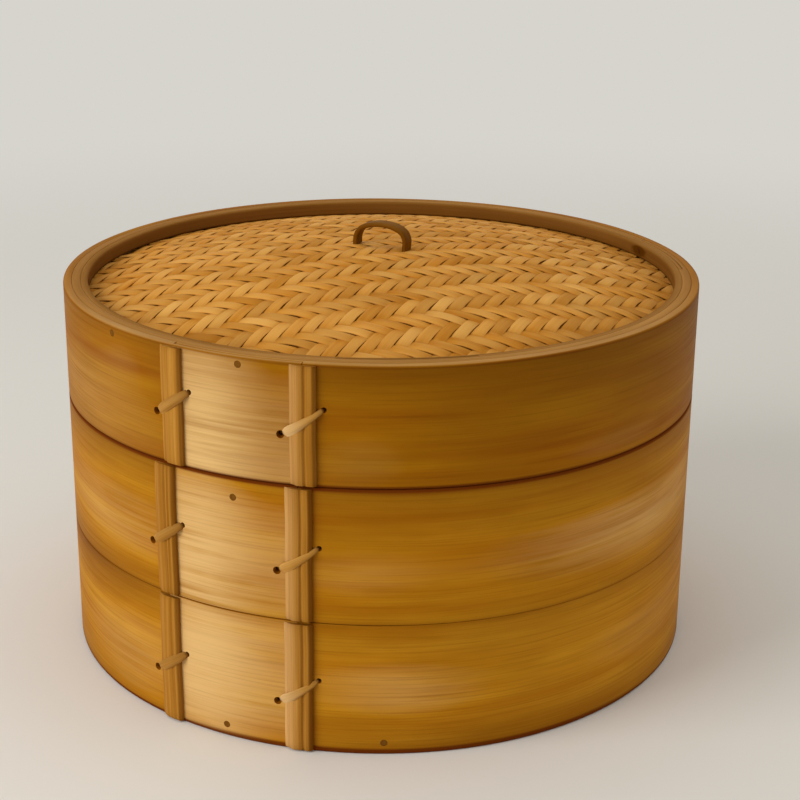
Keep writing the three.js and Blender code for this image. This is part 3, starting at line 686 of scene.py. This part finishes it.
# A lashing: a domed strip out of one hole, over the batten and into the other, with both ends turned
# over inside. The right ones narrow towards their upper end.
def makeLashing(name, hand):
    node = name + "_lashing_" + hand
    height = placeOf(node)[2]
    along, outward = wallAxes(placeOf(name + "_batten_" + hand)[0])
    way = (lash["run"] * along + lash["rise"] * up) / lashSpan
    wide = np.cross(way, outward)
    half = lashSpan / 2
    innermost = liningInner if name == "lid" else collarInner
    deep = innermost - wallOuter - 0.7
    corners = np.array([  # along the strip and out from the wall, in mm
        [-half + lash["tail"], deep], [-half + 1.4, deep], [-half + 0.2, deep + 1], [-half, -1.8],
        [-half + 0.35, -0.6], [-half + 1.3, 0.1], [-half + 2.9, 0.7], [-half + 4.6, 1.55],
        [-2.2, 2.0], [0.8, 2.05], [3.4, 2.0], [half - 3.2, 1.6], [half - 1.6, 0.75],
        [half - 0.6, -0.3], [half - 0.25, -1.6], [half - 0.1, deep + 1], [half - 1.2, deep],
        [half - lash["tail"], deep]])
    path = smoothPath(corners, 7)
    share = np.clip((path[:, 0] + half) / lashSpan, 0, 1)
    width = np.interp(share, lash["shares"], lash["widths"][hand])
    inHole = lash["neck"] + 3 * np.clip(path[:, 1] + 0.6, 0, 1)
    width = np.minimum(width, inHole)  # drawn together in the hole
    a = np.linspace(0, math.pi, 13)
    face = np.stack([np.cos(a) / 2, np.sin(a) ** lash["dome"][hand] - 0.5], -1)  # domed above
    outwards = (face[:, 1] * lash["thick"])[None, :, None]
    flat = path[:, None, :] + sidewaysOf(path)[:, None, :] * outwards
    points = (flat[..., :1] * way + (wallOuter + flat[..., 1:]) * outward
              + (width[:, None] * face[:, 0])[..., None] * wide) + height * up
    # the strip is darkened where it goes into its holes, partly as painted shade
    hidden = np.clip(-path[:, 1] + 0.1, 0, 1) * lash["holeShadeAndStain"]
    below = smooth((2 * face[:, 0] - 0.1) / 0.9)  # painted shade along the lower edge
    dirtAndShade = (lash["dirtAndShade"][hand] + lash["narrowStain"] * share[:, None]
            + lash["below"][hand] * below * smooth(share / 0.5)[:, None])
    stain = np.clip(hidden[:, None] + dirtAndShade, 0, 0.9)
    bleach = lash["bleach"].get(name + "_" + hand, 0)
    bleached = np.broadcast_to(bleach * (1 - smooth(share / 0.8))[:, None], stain.shape)
    marks = np.stack([bleached, stain], -1)
    strip = tube(points, runLength(path) + 31 * height, perimeter(face * 3) + 5 * height, marks)
    makePiece(node, [strip], caneFinish, sharp=60)


# A peg: a circle carried along its rod, with slightly domed ends.
def makePeg(node, i):
    angle, middle, height = placeOf(node)
    along, outward = wallAxes(angle)
    inmost = min(2 * middle - (wallOuter - peg["cadRecess"]), collarInner - peg["innerRecess"])
    outmost = wallOuter - peg["recess"] + wobble(angle)
    r = np.array([outmost, outmost - 0.03, outmost - 0.2, inmost + 0.3, inmost + 0.1, inmost])
    radius = peg["radius"] * np.array(peg["taper"])
    turn = np.linspace(0, fullTurn, peg["corners"], endpoint=False)
    circle = radius[:, None, None] * (np.cos(turn)[:, None] * along + np.sin(turn)[:, None] * up)
    points = r[:, None, None] * outward + circle + height * up
    stain = np.broadcast_to(np.array(peg["stain"])[:, None], points.shape[:2])
    marks = np.stack([np.zeros(stain.shape), stain], -1)
    rod = tube(points, outmost - r + 13 * i, np.linspace(0, peg["girth"], peg["corners"] + 1), marks)
    makePiece(node, [rod], pegFinish)


# A floor bar: a rounded section carried along the bar, its ends cut to the circle of the floor.
bar = {"bevel": 0.6, "steps": 60, "gap": 0.3, "pale": 0.2, "bend": (0.07, 0.05)}


def floorBar(node, turned, seed):
    low, high = boxOf(node)
    radius = plies["collarOuter"] - bar["gap"]
    if turned:
        low, high = np.array([low[1], -high[0], low[2]]), np.array([high[1], -low[0], high[2]])
    side, level, cosTurn, sinTurn = roundedSection(np.array([0.5, 0, -0.5]))
    bevel = bar["bevel"]
    y = (low[1] + high[1]) / 2 + level * ((high[1] - low[1]) / 2 - bevel) + bevel * sinTurn
    z = (low[2] + high[2]) / 2 + side * ((high[2] - low[2]) / 2 - bevel) + bevel * cosTurn
    t = np.linspace(-1, 1, bar["steps"])
    x = t[:, None] * np.sqrt(radius ** 2 - y ** 2)
    points = np.stack([x, y + bar["bend"][0] * np.sin(x / 23 + 3 * seed),
                       z + bar["bend"][1] * np.sin(x / 31 + seed)], -1)
    if turned:
        points = np.stack([-points[..., 1], points[..., 0], points[..., 2]], -1)
    pale = bar["pale"] + bar["pale"] * math.sin(7 * seed)
    marks = np.stack([np.full(x.shape, pale), np.zeros(x.shape)], -1)
    return tube(points, t * radius + 300 * seed, perimeter(np.stack([y, z], -1)) + 40 * seed, marks)


def makeFloors():
    bars = sorted(node for node in frame["nodes"] if "_slat_" in node or "_crossbar_" in node)
    for i, node in enumerate(bars):
        makePiece(node, [floorBar(node, "_crossbar_" in node, i + 0.4)], floorFinish)
    print("floors laid:", len(bars), "bars")


# A woven sheet: two crossed sets of strips. Along each strip its height follows a sine, over n strips and
# under n, and is added to the dome, a paraboloid with a flat brim. Each float narrows in its middle by its
# own amount, "open" at most; "crown" is a strip's section, as shares of its half width and its thickness.
dome = {"rise": 15.0, "radius": 117.0, "brim": 119.6}
weaves = {
    "lid_woven_cover": {"edge": 142.3, "pitch": 5.05, "over": 3, "closed": 0.04, "open": (0.46, 1.8),
                        "thick": 0.55, "lift": 0.7, "turn": 20.5},
    "lid_woven_backing": {"edge": 140.65, "pitch": 8.8, "over": 2, "closed": 0.3, "open": (0.4, 2.0),
                          "thick": 0.5, "lift": 0.3, "turn": 20.5},
}
strand = {"crown": ((-1, -0.5), (-1, 0), (-0.8, 0.3), (-0.4, 0.46), (0, 0.5), (0.4, 0.46), (0.8, 0.3), (1, 0),
                    (1, -0.5)),
          "edgeRoom": 2, "wander": 0.12, "tone": 0.35, "floatTone": (-0.2, 0.3), "crestHighlight": 0.22,
          "under": 0.3, "floatStain": 0.36, "rimShadow": 0.3, "rimFrom": 94, "rimWide": 22}


def domeAt(x, y, edge):  # height and outward direction of the dome
    r2 = x ** 2 + y ** 2
    inside = r2 < dome["radius"] ** 2
    z = edge + np.where(inside, dome["rise"] * (1 - r2 / dome["radius"] ** 2), 0)
    lean = np.where(inside, 2 * dome["rise"] / dome["radius"] ** 2, 0)
    normal = np.stack([lean * x, lean * y, np.ones_like(x)], -1)
    return z, normal / np.linalg.norm(normal, axis=-1, keepdims=True)


def weaveStrips(w, weft):
    pitch, over = w["pitch"], w["over"]
    angle = math.radians(w["turn"] + (-45 if weft else 45))
    crossed = math.radians(w["turn"] + (45 if weft else -45))
    way, beside = [np.array([math.cos(a), math.sin(a)]) for a in (angle, crossed)]
    face = np.array(strand["crown"])
    count = int(dome["brim"] / pitch) + 1
    floats = 4 * count // over + 6
    strips = []
    for i in range(-count, count):
        offset = (i + 0.5) * pitch
        if abs(offset) > dome["brim"] - strand["edgeRoom"]:
            continue
        reach = math.sqrt(dome["brim"] ** 2 - offset ** 2)
        stations = np.arange(-4 * count, 4 * count + 1) * pitch / 4
        s = np.concatenate([[-reach], stations[np.abs(stations) < reach - 0.3], [reach]])
        crossing = s / pitch - 0.5
        phase = (crossing - i if weft else i - crossing) + 0.5
        height = np.sin(math.pi * phase / over)
        height = np.sign(height) * np.abs(height) ** 0.8 * (-1 if weft else 1)
        number = np.floor(phase / over).astype(int) + floats // 2
        bow = np.abs(np.sin(math.pi * phase / over)) ** 1.3
        drawnIn = w["open"][0] * (dice.random((2, floats)) ** w["open"][1])[:, number] * bow
        half = (pitch - w["closed"]) / 2 - drawnIn
        wander = strand["wander"] * np.sin(s / 31 + dice.uniform(0, 6.3))
        wide = np.where(face[:, 0] < 0, half[0][:, None], half[1][:, None])
        across = offset + wander[:, None] + wide * face[:, 0]
        x, y = [s[:, None] * way[k] + across * beside[k] for k in (0, 1)]
        z, normal = domeAt(x, y, w["edge"])
        rise = w["lift"] * height
        points = np.stack([x, y, z], -1) + normal * (rise[:, None] + face[:, 1] * w["thick"])[..., None]
        tone = dice.uniform(0, strand["tone"]) + dice.uniform(*strand["floatTone"], floats)[number]
        tone += strand["crestHighlight"] * smooth((height - 0.4) / 0.6)  # the crests are painted pale, as highlight
        # painted shade where the strip dives under, and stain on some floats
        under = strand["under"] * smooth((0.75 - height) / 1.2)
        under = under + strand["floatStain"] * (dice.random(floats) ** 2)[number]
        # painted shadow of the rim towards the edge of the cover
        fromMiddle = np.hypot(s, offset)
        under += strand["rimShadow"] * smooth((fromMiddle - strand["rimFrom"]) / strand["rimWide"])
        marks = np.stack([np.clip(tone, 0, 1), under], -1)[:, None, :] * np.ones((1, len(face), 1))
        outline = perimeter(face * (pitch / 2, w["thick"]))
        strips.append(tube(points, s + dice.uniform(0, 900), outline + dice.uniform(0, 90), marks))
    return strips


def makeWeave():
    for node, w in weaves.items():
        for weft, word in enumerate(("warp", "weft")):
            makePiece(node, weaveStrips(w, weft), wovenFinish, word, sharp=60)
    print("cover woven")


# The handle: a flat strip with rounded edges, bent over in an arch, through the cover and clinched under it.
grip = {"span": 21.8, "rise": 10.2, "width": 5.4, "thick": 1.9, "tail": 7, "turn": -26, "bevel": 0.6,
        "topGap": 0.05, "worn": 0.2}


def makeHandle():
    low, high = boxOf("lid_handle_loop")
    half = grip["span"] / 2
    arch = high[2] - grip["thick"] / 2 - grip["topGap"]
    foot = high[2] - grip["rise"]
    under = low[2] + grip["thick"] / 2
    leg = np.array([[-half + grip["tail"], under], [-half + 1.6, under], [-half + 0.3, under + 1.2],
                    [-half - 0.1, foot + 0.5]])
    bow = np.array([  # the strip is bent more sharply on its right
        [-half + 0.3, foot + 4.0], [-half * 0.78, foot + 7.0], [-half * 0.42, arch - 0.6], [0, arch],
        [half * 0.48, arch - 0.45], [half * 0.87, foot + 6.9], [half + 0.25, foot + 3.9]])
    corners = np.vstack([leg, bow, leg[::-1] * (-1, 1)])
    path = smoothPath(corners, 10)
    side, level, cosTurn, sinTurn = roundedSection(np.array([0.5, 0, -0.5]))
    bevel = grip["bevel"]
    outwards = side * (grip["thick"] / 2 - bevel) + bevel * cosTurn
    sideways = level * (grip["width"] / 2 - bevel) + bevel * sinTurn
    flat = path[:, None, :] + sidewaysOf(path)[:, None, :] * outwards[None, :, None]
    turn = math.radians(grip["turn"])
    along = np.array([math.cos(turn), math.sin(turn), 0])
    wide = np.array([math.sin(turn), -math.cos(turn), 0])
    points = flat[..., :1] * along + flat[..., 1:] * up + sideways[None, :, None] * wide
    worn = smooth((path[:, 1] - foot - 5) / 5)[:, None] * (side > 0) * grip["worn"]
    marks = np.stack([worn, np.zeros_like(worn)], -1)
    strip = tube(points, runLength(path), perimeter(np.stack([outwards, sideways], -1)), marks)
    makePiece("lid_handle_loop", [strip], handleFinish)
    print("handle bent")


makeWalls()
for name, hand in joints:
    makeBatten(name, hand)
print("battens grooved")
for name, hand in joints:
    makeLashing(name, hand)
print("lashings tied")
for name in rings:
    for i, node in enumerate(pegNodes(name)):
        makePeg(node, i)
print("pegs driven")
makeFloors()
makeWeave()
makeHandle()


# The studio, in metres: a pale sweep under and behind the steamer, a soft key from the left, soft light from
# above and a weak one from the right. The sweep's own shading shows near the steamer and is gone at "clear".
studio = {"sweep": "f0ede6", "far": "d6d4cd", "near": 0.3, "clear": 1.1, "air": "f2efe9", "airStrength": 0.46,
          "floor": (-3, 2.2), "bend": 1.5, "top": 4.0, "halfWidth": 4, "columns": 12, "aim": (0, 0, 0.08),
          "lamps": {"key": {"place": (-1.235, -0.705, 0.82), "size": 0.9, "power": 12.4},
                    "top": {"place": (0.0, 0.15, 1.5), "size": 1.2, "power": 4.0},
                    "right": {"place": (1.35, -0.25, 0.5), "size": 0.9, "power": 1.9}}}


def lookedAt(tree):  # 1 where the eye sees the backdrop, directly, in a reflection or through glass
    seen = addNode(tree, "ShaderNodeLightPath").outputs
    eye = addNode(tree, "ShaderNodeMath", {
        0: seen["Is Camera Ray"], 1: seen["Is Glossy Ray"]}, operation="MAXIMUM").outputs[0]
    return addNode(tree, "ShaderNodeMath", {
        0: eye, 1: seen["Is Transmission Ray"]}, operation="MAXIMUM").outputs[0]


def makeSweep():
    # floor that curves up behind: depth along Y, height a quarter turn
    back, bend = studio["floor"][1], studio["bend"]
    turn = np.linspace(0.05, math.pi / 2, 24)
    path = np.concatenate([np.stack([np.linspace(*studio["floor"], 30), np.zeros(30)], -1),
                           np.stack([back + bend * np.sin(turn), bend - bend * np.cos(turn)], -1),
                           [[back + bend, studio["top"]]]])
    n, columns = len(path), studio["columns"]
    x = np.linspace(-studio["halfWidth"], studio["halfWidth"], columns)
    grid = np.concatenate([np.repeat(x, n)[:, None], np.tile(path, (columns, 1))], 1)
    a = (np.arange(columns - 1)[:, None] * n + np.arange(n - 1)).ravel()
    mesh = bpy.data.meshes.new("sweep")
    mesh.from_pydata(grid.tolist(), [], np.stack([a, a + n, a + n + 1, a + 1], -1).tolist())
    mesh.polygons.foreach_set("use_smooth", np.ones(len(mesh.polygons), bool))
    paper = bpy.data.materials.new("paperMatt")
    paper.use_nodes = True
    tree = paper.node_tree
    tree.nodes.clear()
    lit = addNode(tree, "ShaderNodeBsdfPrincipled", {
        "Base Color": toLinear(studio["sweep"]), "Roughness": 0.9, "Specular IOR Level": 0.1}).outputs["BSDF"]
    glow = addNode(tree, "ShaderNodeEmission", {
        "Color": toLinear(studio["far"]), "Strength": 1.0}).outputs["Emission"]
    # away from the steamer the paper shows the eye one even tone, and its light on the object stays as it is
    place = addNode(tree, "ShaderNodeTexCoord").outputs["Object"]
    away = addNode(tree, "ShaderNodeVectorMath", {0: place}, operation="LENGTH").outputs["Value"]
    blend = addNode(tree, "ShaderNodeMapRange", {
        "Value": away, "From Min": studio["near"], "From Max": studio["clear"]},
        interpolation_type="SMOOTHSTEP").outputs["Result"]
    share = addNode(tree, "ShaderNodeMath", {0: blend, 1: lookedAt(tree)}, operation="MULTIPLY").outputs[0]
    mixed = addNode(tree, "ShaderNodeMixShader", {0: share, 1: lit, 2: glow}).outputs["Shader"]
    addNode(tree, "ShaderNodeOutputMaterial", {"Surface": mixed})
    mesh.materials.append(paper)
    sweep = bpy.data.objects.new("sweep", mesh)
    bpy.context.scene.collection.objects.link(sweep)


def makeLight():
    for name, values in studio["lamps"].items():
        lamp = bpy.data.lights.new(name, "AREA")
        lamp.size, lamp.energy = values["size"], values["power"]
        holder = bpy.data.objects.new(name, lamp)
        holder.location = values["place"]
        holder.rotation_mode = "QUATERNION"
        aim = Vector(studio["aim"]) - Vector(values["place"])
        holder.rotation_quaternion = aim.to_track_quat("-Z", "Y")
        bpy.context.scene.collection.objects.link(holder)
    world = bpy.data.worlds.new("studioAir")
    world.use_nodes = True
    tree = world.node_tree
    tree.nodes.clear()
    air = addNode(tree, "ShaderNodeBackground", {
        "Color": toLinear(studio["air"]), "Strength": studio["airStrength"]}).outputs["Background"]
    distance = addNode(tree, "ShaderNodeBackground", {
        "Color": toLinear(studio["far"]), "Strength": 1.0}).outputs["Background"]
    mixed = addNode(tree, "ShaderNodeMixShader", {0: lookedAt(tree), 1: air, 2: distance}).outputs["Shader"]
    addNode(tree, "ShaderNodeOutputWorld", {"Surface": mixed})
    bpy.context.scene.world = world
    bpy.context.scene.view_settings.view_transform = "Standard"


makeSweep()
makeLight()
print("studio lit")
